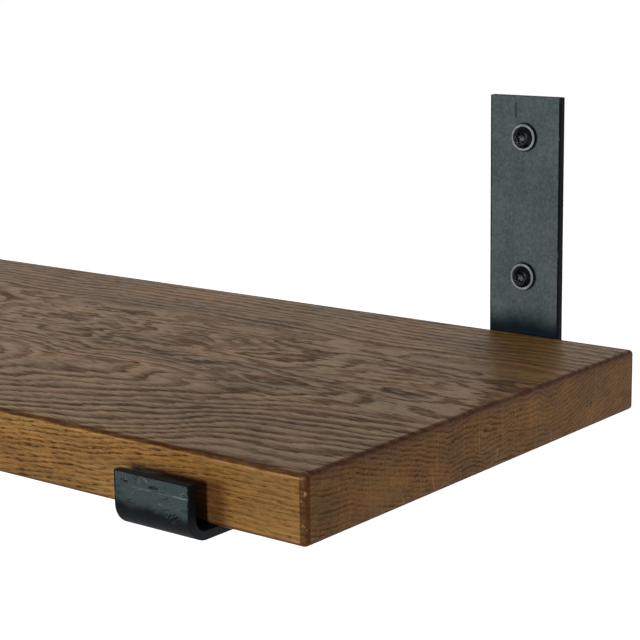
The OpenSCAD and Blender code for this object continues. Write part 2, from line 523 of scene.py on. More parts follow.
@dataclass(frozen=True)
class CoatFinish:
    """Fine dark grey powder coat on flat bar, with painted shade: black on its sawn edges, dark
    beside its bends and in a line around each washer.

    Sizes and places are in millimetres.

    Attributes:
        face: The coat on the wall leg.
        mottle: The lighter grain in it.
        lip: The darker coat on the front lip.
        edge: Near black: painted shade on the narrow, sawn edges and in the line around each
            washer, and the colour of the dark flecks.
        rubbed: The same edges under the shelf, where the coat is rubbed.
        shade_above_board: Painted shade on the wall leg just above the board, by the rear bend.
        shaded: Painted shade on the lower lip, around the front bend and inside it.
        scuff: Bright scratches and worn corners.
        black: Dark scuffs.
        leg_front: The Y of the front face of a wall leg.
        lip_front: The Y of the front face of a lip.
        shadow_radius: The radius of the painted shadow line around a washer.
        dent: The X and Z of the dent above a top wall screw.
        scratch: The Z of the long scratch across a lip.
        knocks: Dark knocks on a lip: the X and Z of each, its half width and half height.
    """

    face: Colour = tint(66, 76, 76)
    mottle: Colour = tint(90, 100, 99)
    lip: Colour = tint(57, 67, 67)
    edge: Colour = tint(8, 11, 15)
    rubbed: Colour = tint(38, 42, 45)
    shade_above_board: Colour = tint(8, 20, 29)
    shaded: Colour = tint(7, 10, 12)
    scuff: Colour = tint(112, 124, 124)
    black: Colour = tint(10, 14, 16)
    leg_front: float = -4.0
    lip_front: float = -273.5
    shadow_radius: float = 7.6
    dent: tuple[float, float] = (329.8, 47.5)
    scratch: float = -76.9
    knocks: tuple[tuple[float, float, float, float], ...] = (
        (346.4, -86.0, 4.6, 2.2),
        (320.8, -75.0, 2.4, 0.9),
        (353.0, -75.8, 1.3, 0.9),
        (336.5, -75.4, 3.2, 0.9),
    )

    def scratches(self, bench: Bench) -> Reading:
        """Draws the long, broken scratch across the front of a lip.

        Args:
            bench: The node tree.

        Returns:
            How bright it is, from 0 to 1.
        """
        wander = bench.cloud((26, 30, 30), shift=1.9).remap(0.3, 0.7, -0.6, 0.6)
        line = abs(bench.z - self.scratch + wander).step(0.5, 0.05)
        broken = bench.cloud((5, 2, 2), shift=4.2).step(0.25, 0.6)
        start = bench.aside.step(321.0, 334.0)
        on_lip = bench.y.step(self.lip_front + 0.9, self.lip_front + 0.3)
        return on_lip * line * start * broken * 0.8

    def knocked(self, bench: Bench) -> Reading:
        """Finds the knocks on the front of a lip.

        Args:
            bench: The node tree.

        Returns:
            1 on a knock and 0 beside it.
        """
        found: Given = 0.0
        for x, z, half_x, half_z in self.knocks:
            off_x, off_z = (bench.aside - x) / half_x, (bench.z - z) / half_z
            spot = (off_x * off_x + off_z * off_z).step(1.2, 0.2)
            found = bench.maths("MAXIMUM", found, spot)
        return found * bench.y.step(self.lip_front + 2.5, self.lip_front + 1.5)

    def squiggles(self, bench: Bench) -> Reading:
        """Draws short, thin, curling scratches above a bend.

        Args:
            bench: The node tree.

        Returns:
            1 on a scratch and 0 beside it.
        """
        swirl = bench.cloud((6, 6, 4.5), 1.0, 0.5, 1.2, shift=15.4)
        some = bench.cloud((7, 7, 5), shift=24.1).step(0.46, 0.56)
        return abs(swirl - 0.5).step(0.018, 0.004) * some * bench.z.step(-86.0, -83.0)

    def front_of_leg(self, bench: Bench) -> Reading:
        """Finds the front face of a wall leg."""
        not_before = bench.y.step(self.leg_front - 4.0, self.leg_front - 1.0)
        return not_before * bench.y.step(self.leg_front + 2.0, self.leg_front + 0.5)

    def washer_shadows(self, bench: Bench) -> Reading:
        """Paints the shadow line on a wall leg around each washer.

        Args:
            bench: The node tree.

        Returns:
            1 within the line and 0 outside it.
        """
        off_x, off_z = bench.aside - BRACKET_X, abs(bench.z) - SCREW_Z
        distance = bench.maths("SQRT", off_x * off_x + off_z * off_z)
        return self.front_of_leg(bench) * distance.step(self.shadow_radius, self.shadow_radius - 0.9)

    def dents(self, bench: Bench) -> Reading:
        """Draws the short upright dent above each top wall screw."""
        across, along = abs(bench.aside - self.dent[0]), abs(bench.z - self.dent[1])
        return self.front_of_leg(bench) * across.step(1.1, 0.2) * along.step(4.6, 3.0)

    def build(self) -> bpy.types.Material:
        """Makes the material.

        Returns:
            The material.
        """
        bench = Bench(Slot.COAT)
        fine = bench.cloud((1.3, 1.3, 1.6), 3.0, 0.7, 0.4, shift=2.7)
        broad = bench.cloud((12, 12, 20), shift=6.1)
        light = fine.remap(0.4, 0.62, 0.0, 0.6) + broad.remap(0.35, 0.65, 0.0, 0.3)
        flecks = bench.cloud((2.4, 2.4, 1.5), 3.0, 0.7, 1.2, shift=3.3).step(0.6, 0.72)
        specks = bench.cloud((1.1, 1.1, 1.1), 1.0, shift=23.6).step(0.66, 0.74)
        scuffs = bench.cloud((6, 3, 1.7), 3.0, 0.75, 0.8, shift=9.4).step(0.55, 0.63)
        grain = bench.cloud((0.9, 0.9, 0.6), 2.0, 0.6, 0.6, shift=22.9)
        nicks = bench.cloud((2.5, 2.5, 4), 3.0, 0.7, shift=19.1).step(0.58, 0.66)
        on_lip = bench.y.step(-255.0, -262.0)
        low = bench.z + broad.remap(0.3, 0.7, -1.0, 1.0)
        # Painted shade on the wall leg just above the board.
        behind = bench.y.step(-30.0, -20.0) * low.step(-48.0, -61.5)
        # Painted shade on the lower lip and around the front bend.
        skewed = low + bench.aside * 0.06
        in_front = bench.y.step(-249.0, -256.0) * skewed.step(-61.7, -66.9)
        knocked = self.knocked(bench)
        under_shelf = bench.endwise.step(0.7, 0.95) * bench.z.step(-83.0, -91.0)
        coat = bench.coats(
            self.face,
            (light, self.mottle),
            (specks * 0.5, self.scuff),
            # Painted shadow line around each washer.
            (self.washer_shadows(bench) * 0.9, self.edge),
            (on_lip * 0.85, self.lip),
            (flecks * 0.5, self.edge),
            (self.dents(bench) * 0.6, self.black),
            (scuffs * on_lip * 0.45, self.black),
            (behind * 0.96, self.shade_above_board),
            (in_front * 0.95, self.shaded),
            (self.scratches(bench), self.scuff),
            (self.squiggles(bench) * on_lip * 0.4, self.scuff),
            (knocked * grain.step(0.4, 0.5), self.black),
            (knocked * grain.step(0.41, 0.35) * 0.55, self.scuff),
            # Painted shade on the sawn edges, lighter where they are rubbed under the shelf.
            (
                bench.mask(Mask.CUT_EDGE).step(0.2, 0.7),
                bench.blend(under_shelf, self.edge, self.rubbed),
            ),
            (bench.mask(Mask.ARRIS) * nicks * 0.4, self.scuff),
        )
        return bench.finish(
            {
                "Base Color": coat,
                "Roughness": fine.remap(0.3, 0.7, 0.5, 0.66),
                "Specular IOR Level": 0.05,
                "Normal": bench.relief(fine - flecks * 0.5, 0.05 * MM),
            }
        )


@dataclass(frozen=True)
class ScrewFinish:
    """Blackened steel, semi-gloss, rubbed a little on its high spots, with painted glints in its
    recess.

    Attributes:
        black: The blackened skin.
        rubbed: Where tools and threads have rubbed it.
        bright: Painted glints on the rim and floor of the recess, on its lower side.
    """

    black: Colour = tint(5, 9, 14)
    rubbed: Colour = tint(26, 31, 38)
    bright: Colour = tint(122, 130, 134)

    def build(self) -> bpy.types.Material:
        """Makes the material.

        Returns:
            The material.
        """
        bench = Bench(Slot.SCREW)
        worn = bench.cloud((1.2, 1.2, 1.2), 3.0, 0.6, shift=5.5).step(0.56, 0.7)
        fine = bench.cloud((0.5, 0.5, 0.5), shift=1.4)
        # Painted glints on the rim and floor of the recess.
        rim = bench.mask(Mask.ARRIS) * fine.remap(0.35, 0.65, 0.45, 1.0)
        steel = bench.coats(self.black, (worn * 0.6, self.rubbed), (rim, self.bright))
        return bench.finish(
            {
                "Base Color": steel,
                "Roughness": fine.remap(0.3, 0.7, 0.28, 0.42),
                "Specular IOR Level": 0.12,
                "Normal": bench.relief(fine, 0.01 * MM),
            }
        )


@dataclass(frozen=True)
class WasherFinish:
    """Dull zinc on a washer's faces, and black on its narrow outer wall.

    Attributes:
        zinc: The face of the washer.
        dull: Its darker patches.
        wall: Painted shade on its outer wall and outer bevel.
    """

    zinc: Colour = tint(146, 153, 154)
    dull: Colour = tint(100, 109, 110)
    wall: Colour = tint(4, 7, 8)

    def build(self) -> bpy.types.Material:
        """Makes the material.

        Returns:
            The material.
        """
        bench = Bench(Slot.WASHER)
        patches = bench.cloud((4, 4, 4), 3.0, 0.6, shift=3.1).remap(0.35, 0.65, 0.0, 0.8)
        fine = bench.cloud((0.4, 0.4, 3.0), shift=7.7)
        # Painted shade: black on the outer wall.
        edge = bench.mask(Mask.CUT_EDGE)
        return bench.finish(
            {
                "Base Color": bench.coats(self.zinc, (patches, self.dull), (edge, self.wall)),
                "Metallic": 0.1,
                "Roughness": fine.remap(0.3, 0.7, 0.42, 0.58),
                "Specular IOR Level": 0.15,
                "Normal": bench.relief(fine, 0.01 * MM),
            }
        )


@dataclass
class Ring:
    """One closed loop of a lofted skin.

    Attributes:
        points: Its points, in order.
        masks: The value of each paint mask at each point.
    """

    points: list[Vector]
    masks: dict[Mask, list[float]]


@dataclass(frozen=True)
class Axis:
    """The axis of a round shape.

    Attributes:
        place: Where it starts.
        along: Its direction.
    """

    place: Vector
    along: Vector

    def ring(
        self, radii: Sequence[float], height: float, masks: dict[Mask, list[float]]
    ) -> Ring:
        """Makes one loop around the axis, with its points at equal angles.

        Args:
            radii: How far each point stands from the axis.
            height: How far along the axis the loop is.
            masks: The value of each paint mask at each point.

        Returns:
            The loop.
        """
        turn = self.along.to_track_quat("Z", "Y").to_matrix()
        points = []
        for step, radius in enumerate(radii):
            angle = math.tau * step / len(radii)
            offset = Vector((radius * math.cos(angle), radius * math.sin(angle), height))
            points.append(self.place + turn @ offset)
        return Ring(points, masks)


@dataclass(frozen=True)
class OutlinePoint:
    """A point of a rounded rectangle.

    Attributes:
        x: Its place along the first axis.
        y: Its place along the second axis.
        corner: 1 on a rounded corner and 0 on a flat.
        arris: 1 where a flat meets a rounded corner.
        end: 1 on the flats that face along the first axis, 0 on the others.
    """

    x: float
    y: float
    corner: float
    arris: float
    end: float


class Shop:
    """The workshop: it makes meshes from loops, cuts holes and hands pieces to the frame."""

    @staticmethod
    def rounded_rectangle(
        half_x: float, half_y: float, radius: float, shoulder: float, steps: int
    ) -> list[OutlinePoint]:
        """Draws a rounded rectangle around the origin, anticlockwise.

        Args:
            half_x: Half its length along the first axis.
            half_y: Half its length along the second axis.
            radius: The radius of its corners.
            shoulder: How far from each corner the flats get a point of their own.
            steps: How many straight steps make up a corner.

        Returns:
            Its points, the same number whatever the sizes.
        """
        points = []
        for corner in range(4):
            start = QUARTER_TURN * corner
            middle = start + QUARTER_TURN / 2
            centre_x = math.copysign(half_x - radius, math.cos(middle))
            centre_y = math.copysign(half_y - radius, math.sin(middle))
            for index in range(-1, steps + 2):
                held = min(max(index, 0), steps)
                beside = held - index
                angle = start + QUARTER_TURN * held / steps
                x = centre_x + radius * math.cos(angle) + beside * shoulder * math.sin(angle)
                y = centre_y + radius * math.sin(angle) - beside * shoulder * math.cos(angle)
                on_corner = 0.0 if beside else 1.0
                on_arris = 1.0 if index in (0, steps) else 0.0
                points.append(OutlinePoint(x, y, on_corner, on_arris, abs(math.cos(angle))))
        return points

    @staticmethod
    def loft(name: str, rings: Sequence[Ring], capped: bool = True) -> bpy.types.Object:
        """Stretches a closed skin over loops with equal numbers of points.

        Args:
            name: The name of the new piece.
            rings: The loops, in order.
            capped: Whether flat caps close its two ends. If not, the last loop joins the first.

        Returns:
            The new piece.
        """
        mesh = bpy.data.meshes.new(name)
        bm = bmesh.new()
        layers = {mask: bm.verts.layers.float.new(mask.value) for mask in rings[0].masks}
        loops = []
        for ring in rings:
            verts = [bm.verts.new(point) for point in ring.points]
            for mask, layer in layers.items():
                for vert, value in zip(verts, ring.masks[mask]):
                    vert[layer] = value
            loops.append(verts)
        joined = list(zip(loops, loops[1:])) + ([] if capped else [(loops[-1], loops[0])])
        count = len(loops[0])
        for lower, upper in joined:
            for here in range(count):
                after = (here + 1) % count
                bm.faces.new((lower[here], lower[after], upper[after], upper[here]))
        if capped:
            bm.faces.new(loops[0])
            bm.faces.new(loops[-1])
        bmesh.ops.recalc_face_normals(bm, faces=bm.faces)
        bm.to_mesh(mesh)
        bm.free()
        piece = bpy.data.objects.new(name, mesh)
        bpy.context.scene.collection.objects.link(piece)
        return piece

    @staticmethod
    def apply_modifiers(piece: bpy.types.Object) -> None:
        """Makes the result of a piece's modifiers its own mesh.

        Args:
            piece: The piece.
        """
        graph = bpy.context.evaluated_depsgraph_get()
        mesh = bpy.data.meshes.new_from_object(
            piece.evaluated_get(graph), preserve_all_data_layers=True, depsgraph=graph
        )
        piece.modifiers.clear()
        piece.data = mesh

    @classmethod
    def drill(cls, piece: bpy.types.Object, cutter: bpy.types.Object) -> None:
        """Cuts a hole in a piece and removes the cutter.

        Args:
            piece: The piece.
            cutter: The shape to cut away.
        """
        hole = piece.modifiers.new("hole", "BOOLEAN")
        hole.operation = "DIFFERENCE"
        hole.solver = "EXACT"
        hole.object = cutter
        cls.apply_modifiers(piece)
        bpy.data.objects.remove(cutter)

    @classmethod
    def deliver(
        cls,
        piece: bpy.types.Object,
        material: bpy.types.Material,
        slot: Slot,
        node: str,
        sharp_angle: float = 38.0,
    ) -> None:
        """Smooths and dresses a piece, and puts it in the frame in place of its CAD node.

        Args:
            piece: The piece.
            material: Its finish.
            slot: The record's slot for that finish; not used.
            node: The CAD node that it stands for.
            sharp_angle: The least angle of an edge that stays sharp, in degrees.
        """
        piece.data.shade_smooth()
        piece.data.set_sharp_from_angle(angle=math.radians(sharp_angle))
        normals = piece.modifiers.new("normals", "WEIGHTED_NORMAL")
        normals.keep_sharp = True
        normals.weight = 80
        cls.apply_modifiers(piece)
        piece.data.materials.clear()
        piece.data.materials.append(material)
        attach(piece, BODY)
        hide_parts(node)
        LOG.info("%s: %d faces, for %s", piece.name, len(piece.data.polygons), node)


@dataclass
class Board:
    """The oak board, with every edge and corner rounded.

    Attributes:
        low: Its lowest corner.
        high: Its highest corner.
        edge_round: The radius of the rounding along its edges.
        corner_round: The radius of its upright corners.
        shoulder: How far the gathered stain reaches past a rounded edge.
        end_stain: The gathered stain on the upper edges of its ends, from 0 to 1.
        steps: How many straight steps make up a quarter turn.
    """

    low: Vector
    high: Vector
    edge_round: float = 2.0 * MM
    corner_round: float = 2.5 * MM
    shoulder: float = 0.7 * MM
    end_stain: float = 0.4
    steps: int = 8

    def ring(
        self,
        inset: float,
        z: float,
        stain: float = 0.0,
        ends: float = 0.0,
        arris: float = 0.0,
        upright: float = 1.0,
    ) -> Ring:
        """Makes one level loop around the board.

        Args:
            inset: How far it stands in from the board's sides.
            z: Its height.
            stain: The gathered stain along its front and back.
            ends: The gathered stain along its ends.
            arris: The light line along it, partly wear and partly painted highlight.
            upright: 1 where the board's sides are upright, so that the corners take stain.

        Returns:
            The loop.
        """
        centre = (self.low + self.high) / 2
        half = (self.high - self.low) / 2
        radius = max(self.corner_round - inset, 0.1 * MM)
        outline = Shop.rounded_rectangle(
            half.x - inset, half.y - inset, radius, self.shoulder, self.steps
        )
        return Ring(
            [Vector((centre.x + p.x, centre.y + p.y, z)) for p in outline],
            {
                Mask.STAIN: [max(stain, ends * p.end, upright * p.corner) for p in outline],
                Mask.ARRIS: [arris * (1 - p.end) for p in outline],
            },
        )

    def rounding(self, top: bool) -> list[Ring]:
        """Makes the loops of the rounding along the upper or the lower edges.

        Args:
            top: Whether they are the upper edges, which carry the light line of wear and painted
                highlight.

        Returns:
            The loops, from the level face out and on to the upright sides.
        """
        level, way = (self.high.z, -1) if top else (self.low.z, 1)
        inner = self.edge_round + self.shoulder
        rings = [self.ring(inner, level, upright=0.0)]
        for step in range(self.steps + 1):
            turn = QUARTER_TURN * step / self.steps
            inset = self.edge_round * (1 - math.sin(turn))
            z = level + way * self.edge_round * (1 - math.cos(turn))
            stain = math.sin(2 * turn)
            arris = 1.0 if top and step == self.steps else 0.0
            rings.append(self.ring(inset, z, stain, self.end_stain if top else stain, arris))
        rings.append(self.ring(0.0, level + way * inner))
        return rings

    def build(self, material: bpy.types.Material) -> None:
        """Makes the board in its material."""
        piece = Shop.loft("oak_board", self.rounding(False) + self.rounding(True)[::-1])
        Shop.deliver(piece, material, Slot.OAK, "board")


@dataclass
class Bracket:
    """One flat bar, bent twice: a wall leg, a level leg and a front lip.

    Attributes:
        side: The end of the shelf that it carries.
        low: The lowest corner of its box.
        high: The highest corner of its box.
        wall_holes: The heights of its wall screws.
        shelf_holes: The Y of its shelf screws.
        lip_height: How far its lip reaches up from its underside.
        thickness: The thickness of the bar.
        bend: The inner radius of both bends.
        soften: The radius of its softened edges.
        shoulder: How far the thin coat of an edge fades out on to a broad face.
        wall_hole: The diameter of the holes in the wall leg.
        shelf_hole: The diameter of the holes in the level leg.
        bevel: The bevel around each hole.
        hole_count: How many points go round a hole.
        steps: How many straight steps make up a bend.
        top_black: How dark the painted shade on top of the wall leg is, from 0 to 1.
        lip_black: The same on top of the lip.
        end_fading: How much of that each loop of a softened end has, from its tip down.
    """

    side: Side
    low: Vector
    high: Vector
    wall_holes: tuple[float, ...]
    shelf_holes: tuple[float, ...]
    lip_height: float = 24.0 * MM
    thickness: float = 4.0 * MM
    bend: float = 6.0 * MM
    soften: float = 0.5 * MM
    shoulder: float = 0.7 * MM
    wall_hole: float = 7.0 * MM
    shelf_hole: float = 5.5 * MM
    bevel: float = 0.3 * MM
    hole_count: int = 48
    steps: int = 20
    top_black: float = 0.45
    lip_black: float = 1.0
    end_fading: tuple[float, ...] = (1.0, 1.0, 1.0, 0.5, 0.0)

    def ring(self, y: float, z: float, turn: float, inset: float = 0.0, end: float = 0.0) -> Ring:
        """Makes one loop around the bar.

        Args:
            y: The Y of the bar's middle there.
            z: The height of the bar's middle there.
            turn: Which way the bar's outer face looks: 0 to the wall, -90 degrees down.
            inset: How far the loop stands in from the bar's faces.
            end: 1 on the bar's sawn end, down to 0 on its length.

        Returns:
            The loop.
        """
        outline = Shop.rounded_rectangle(
            (self.high.x - self.low.x) / 2 - inset,
            self.thickness / 2 - inset,
            max(self.soften - inset, 0.02 * MM),
            self.shoulder,
            len(self.end_fading) - 1,
        )
        out = Vector((0.0, math.cos(turn), math.sin(turn)))
        middle = Vector(((self.low.x + self.high.x) / 2, y, z))
        return Ring(
            [middle + Vector((p.x, 0.0, 0.0)) + out * p.y for p in outline],
            {
                # Painted shade: dark on the sawn edges and ends.
                Mask.CUT_EDGE: [max(p.end, p.corner, end) for p in outline],
                Mask.ARRIS: [p.arris * (1 - p.end) * (1 - end) for p in outline],
            },
        )

    def end_rings(self, y: float, z: float, turn: float, dark: float) -> list[Ring]:
        """Makes the loops of a softened end of the bar, from its tip down.

        Args:
            y: The Y of the bar's middle there.
            z: The height of the tip.
            turn: Which way the bar's outer face looks.
            dark: How dark the painted shade on the sawn end is, from 0 to 1.

        Returns:
            The loops.
        """
        rings = []
        for step, fading in enumerate(self.end_fading):
            angle = QUARTER_TURN * step / (len(self.end_fading) - 1)
            inset = self.soften * (1 - math.sin(angle))
            drop = self.soften * (1 - math.cos(angle))
            rings.append(self.ring(y, z - drop, turn, inset, dark * fading))
        rings.append(self.ring(y, z - 2 * self.soften, turn))
        return rings

    def bar(self) -> bpy.types.Object:
        """Makes the bent bar without its holes.

        Returns:
            The bar.
        """
        half = self.thickness / 2
        outer = self.bend + self.thickness
        reach = self.bend + half
        bend_z = self.low.z + outer
        rings = self.end_rings(self.high.y - half, self.high.z, 0.0, self.top_black)
        for bend, centre_y in enumerate((self.high.y - outer, self.low.y + outer)):
            for step in range(self.steps + 1):
                turn = -QUARTER_TURN * (bend + step / self.steps)
                y = centre_y + reach * math.cos(turn)
                rings.append(self.ring(y, bend_z + reach * math.sin(turn), turn))
        lip_top = self.low.z + self.lip_height
        lip = self.end_rings(self.low.y + half, lip_top, -math.pi, self.lip_black)
        rings += reversed(lip)
        return Shop.loft(f"bent_bar_{self.side.name.lower()}", rings)

    def cutter(self, axis: Axis, diameter: float) -> bpy.types.Object:
        """Makes the shape of one bevelled hole through the bar.

        Args:
            axis: The hole's axis, from the middle of the bar.
            diameter: The hole's diameter.

        Returns:
            The cutter.
        """
        half, radius = self.thickness / 2, diameter / 2
        past = 1.0 * MM
        wide = radius + self.bevel + past
        profile = (
            (-half - past, wide),
            (-half + self.bevel, radius),
            (half - self.bevel, radius),
            (half + past, wide),
        )
        rings = [axis.ring([reach] * self.hole_count, z, {}) for z, reach in profile]
        return Shop.loft("cutter", rings)

    def build(self, material: bpy.types.Material) -> None:
        """Makes the bracket.

        Args:
            material: The powder coat.
        """
        piece = self.bar()
        half = self.thickness / 2
        holes = [(self.high.y - half, z, INTO_WALL, self.wall_hole) for z in self.wall_holes]
        holes += [(y, self.low.z + half, UP, self.shelf_hole) for y in self.shelf_holes]
        for y, z, along, diameter in holes:
            centre = Vector(((self.low.x + self.high.x) / 2, y, z))
            Shop.drill(piece, self.cutter(Axis(centre, along), diameter))
        Shop.deliver(piece, material, Slot.COAT, f"bracket_{self.side.name.lower()}")


@dataclass
class Washer:
    """A flat round washer on the front of a wall leg.

    Attributes:
        axis: Its axis, from the centre of its front face.
        name: The name of the place that it is in, such as right_top.
        diameter: Its outer diameter.
        bore: Its inner diameter.
        thickness: Its thickness.
        soften: The bevel on its rims.
        count: How many points go round it.
    """

    axis: Axis
    name: str
    diameter: float = 13.4 * MM
    bore: float = 6.4 * MM
    thickness: float = 1.9 * MM
    soften: float = 0.2 * MM
    count: int = 96

    def build(self, material: bpy.types.Material) -> None:
        """Makes the washer.

        Args:
            material: The zinc.
        """
        outer, inner, bevel = self.diameter / 2, self.bore / 2, self.soften
        # The third number is painted shade, black on the outer wall and half over the outer bevel.
        profile = (
            (inner + bevel, 0.0, 0.0),
            (outer - 1.5 * bevel, 0.0, 0.0),
            (outer - bevel, 0.0, 0.5),
            (outer - 0.3 * bevel, 0.3 * bevel, 1.0),
            (outer, bevel, 1.0),
            (outer, self.thickness - bevel, 1.0),
            (outer - bevel, self.thickness, 1.0),
            (inner + bevel, self.thickness, 0.0),
            (inner, self.thickness - bevel, 0.0),
            (inner, bevel, 0.0),
        )
        rings = [
            self.axis.ring([radius] * self.count, depth, {Mask.CUT_EDGE: [dark] * self.count})
            for radius, depth, dark in profile
        ]
        piece = Shop.loft(f"zinc_washer_{self.name}", rings, capped=False)
        Shop.deliver(piece, material, Slot.WASHER, f"wall_washer_{self.name}", 50.0)


@dataclass(frozen=True)
class ScrewSizes:
    """The sizes of one kind of screw, with a domed head and a six-lobe recess.

    Attributes:
        head: The diameter of the head.
        head_height: Its height.
        flat: The diameter of the flat on top of the dome.
        recess: The diameter of the recess over its lobes.
        thread: The diameter over the thread.
        length: The length under the head.
        collar: The length of the smooth collar under the head.
        smooth: The length under the head at which the thread starts.
        pitch: The distance between the turns of the thread.
        rim: The height of the head's upright rim.
        floor: The metal left under the recess.
        relief: How much thinner than the thread the stretch past the collar is.
        bevel: The bevel between the rim and the underside of the head.
        thread_share: The depth of the thread, as a share of its diameter.
        tip_share: The length of the tapered tip, as a share of the thread's diameter.
    """

    head: float
    head_height: float
    flat: float
    recess: float
    thread: float
    length: float
    collar: float
    smooth: float
    pitch: float
    rim: float = 0.4 * MM
    floor: float = 0.5 * MM
    relief: float = 0.2 * MM
    bevel: float = 0.1 * MM
    thread_share: float = 0.14
    tip_share: float = 0.9

    def lobes(self, angle: float, scale: float) -> float:
        """Gives the radius of the six-lobe recess in one direction.

        Args:
            angle: The direction around the screw.
            scale: How wide the outline is there, as a share of its mouth.

        Returns:
            The radius.
        """
        lobe = 0.11 * self.recess
        reach = self.recess / 2 - lobe
        off = (angle + math.radians(30)) % math.radians(60) - math.radians(30)
        across = reach * math.sin(off)
        waist = self.recess / 2 - 1.2 * lobe
        if abs(across) >= lobe:
            return scale * waist
        tip = reach * math.cos(off) + math.sqrt(lobe * lobe - across * across)
        return scale * max(waist, tip)


@dataclass
class Screw:
    """One screw, with a true helical thread.

    Attributes:
        sizes: Its sizes.
        axis: Its axis, from the underside of its head to its tip.
        node: The CAD node that it stands for.
        spin: How far its recess is turned, in degrees.
        count: How many points go round it.
        dome_steps: How many straight steps make up its dome.
        thread_steps: How many loops make up one turn of its thread.
    """

    sizes: ScrewSizes
    axis: Axis
    node: str
    spin: float
    count: int = 72
    dome_steps: int = 8
    thread_steps: int = 10

    def head_profile(self) -> list[tuple[float, float, float, float]]:
        """Lists the head's rings, from the floor of the recess out and down to the shank.

        Returns:
            For each ring its radius, the scale of its lobes (0 where it is round), its height
            and how much painted glint its lower side takes.
        """
        s = self.sizes
        top = -s.head_height
        rise = s.head_height - s.rim
        centre = ((s.head**2 - s.flat**2) / 4 + s.rim**2 - s.head_height**2) / (2 * rise)
        dome = math.hypot(s.head / 2, centre + s.rim)
        # The last number of each ring is its painted glint.
        rings = [
            (0.0, 0.55, -s.floor, 0.9),
            (0.0, 0.93, -s.floor - 0.05 * MM, 0.0),
            (0.0, 0.97, -s.floor - 0.3 * MM, 0.0),
            (0.0, 0.99, top + 0.3 * MM, 0.0),
            (0.0, 1.0, top + 0.12 * MM, 1.0),
            (0.0, 1.03, top + 0.03 * MM, 1.0),
            (0.0, 1.05, top, 0.7),
            (0.0, 1.09, top, 0.0),
            (s.flat / 2 - s.bevel, 0.0, top, 0.0),
        ]
        for step in range(self.dome_steps + 1):
            height = top + rise * step / self.dome_steps
            radius = math.sqrt(max(dome**2 - (height - centre) ** 2, 0.0))
            rings.append((radius, 0.0, height, 0.0 if step else 0.5))
        rings.append((s.head / 2, 0.0, -s.bevel, 0.0))
        rings.append((s.head / 2 - s.bevel, 0.0, 0.0, 0.0))
        rings.append((s.thread / 2 + s.bevel, 0.0, 0.0, 0.0))
        return rings

    def shank_radius(self, height: float, angle: float) -> float:
        """Gives the radius of the shank and its thread.

        Args:
            height: The distance from the underside of the head.
            angle: The direction around the screw.

        Returns:
            The radius.
        """
        s = self.sizes
        outer = s.thread / 2
        core = outer - s.thread_share * s.thread
        if height <= s.collar:
            return outer
        if height <= s.smooth:
            return outer - s.relief
        fade_in = min((height - s.smooth) / s.pitch, 1.0)
        taper = min((s.length - height) / (s.tip_share * s.thread), 1.0)
        fade_out = min(max(taper - 0.1, 0.0) / 0.6, 1.0)
        body = core * taper + (outer - s.relief - core) * (1 - fade_in) ** 2
        phase = ((height - s.smooth) / s.pitch - angle / math.tau) % 1.0
        ridge = max(0.0, 1 - abs(phase - 0.5) / 0.26)
        crest = min(ridge * 1.12, 1.0) * (outer - core) * fade_out * fade_in
        return min(max(body + crest, 0.08 * MM), outer)

    def shank_heights(self) -> list[float]:
        """Lists the heights of the rings of the shank.

        Returns:
            The heights, from the head to the tip.
        """
        s = self.sizes
        gap = 0.05 * MM
        heights = [s.bevel, s.collar]
        if s.smooth > s.collar:
            heights += [s.collar + gap, s.smooth - gap]
        height = s.smooth + gap
        while height < s.length - 0.02 * MM:
            heights.append(height)
            height += s.pitch / self.thread_steps
        heights.append(s.length)
        return heights

    def build(self, material: bpy.types.Material) -> None:
        """Makes the screw.

        Args:
            material: The black finish.
        """
        around = self.axis.ring([1.0] * self.count, 0.0, {}).points
        # Painted glints are strongest on the lower side of the head.
        lower = [0.5 - 0.5 * (point - self.axis.place).z for point in around]
        angles = [math.tau * step / self.count for step in range(self.count)]
        spin = math.radians(self.spin)
        rings = []
        for radius, scale, height, rubbed in self.head_profile():
            radii = [self.sizes.lobes(a - spin, scale) if scale else radius for a in angles]
            wear = [rubbed * share for share in lower]
            rings.append(self.axis.ring(radii, height, {Mask.ARRIS: wear}))
        for height in self.shank_heights():
            radii = [self.shank_radius(height, angle) for angle in angles]
            rings.append(self.axis.ring(radii, height, {Mask.ARRIS: [0.0] * self.count}))
        piece = Shop.loft(f"lobed_{self.node}", rings)
        Shop.deliver(piece, material, Slot.SCREW, self.node, 45.0)


def direction(turn: float, rise: float) -> Vector:
    """Points from the shelf to something in the studio.

    Args:
        turn: How far it stands to the right of the front, in degrees.
        rise: How high it stands, in degrees.

    Returns:
        The direction, one metre long.
    """
    turn, rise = math.radians(turn), math.radians(rise)
    level = math.cos(rise)
    return Vector((math.sin(turn) * level, -math.cos(turn) * level, math.sin(rise)))


@dataclass(frozen=True)
class Lamp:
    """One large, far lamp.

    Attributes:
        name: Its name.
        turn: How far it stands to the right of the front, in degrees.
        rise: How high it stands, in degrees.
        spread: How wide it looks, in degrees.
        power: Its strength.
        shiny: Whether it shows in reflections.
    """

    name: str
    turn: float
    rise: float
    spread: float
    power: float
    shiny: bool = True

    def hang(self) -> None:
        """Hangs the lamp."""
        lamp = bpy.data.lights.new(self.name, "SUN")
        lamp.energy = self.power
        lamp.angle = math.radians(self.spread)
        holder = bpy.data.objects.new(self.name, lamp)
        holder.visible_glossy = self.shiny
        towards = direction(self.turn, self.rise)
        holder.rotation_euler = towards.to_track_quat("Z", "Y").to_euler()
        bpy.context.scene.collection.objects.link(holder)


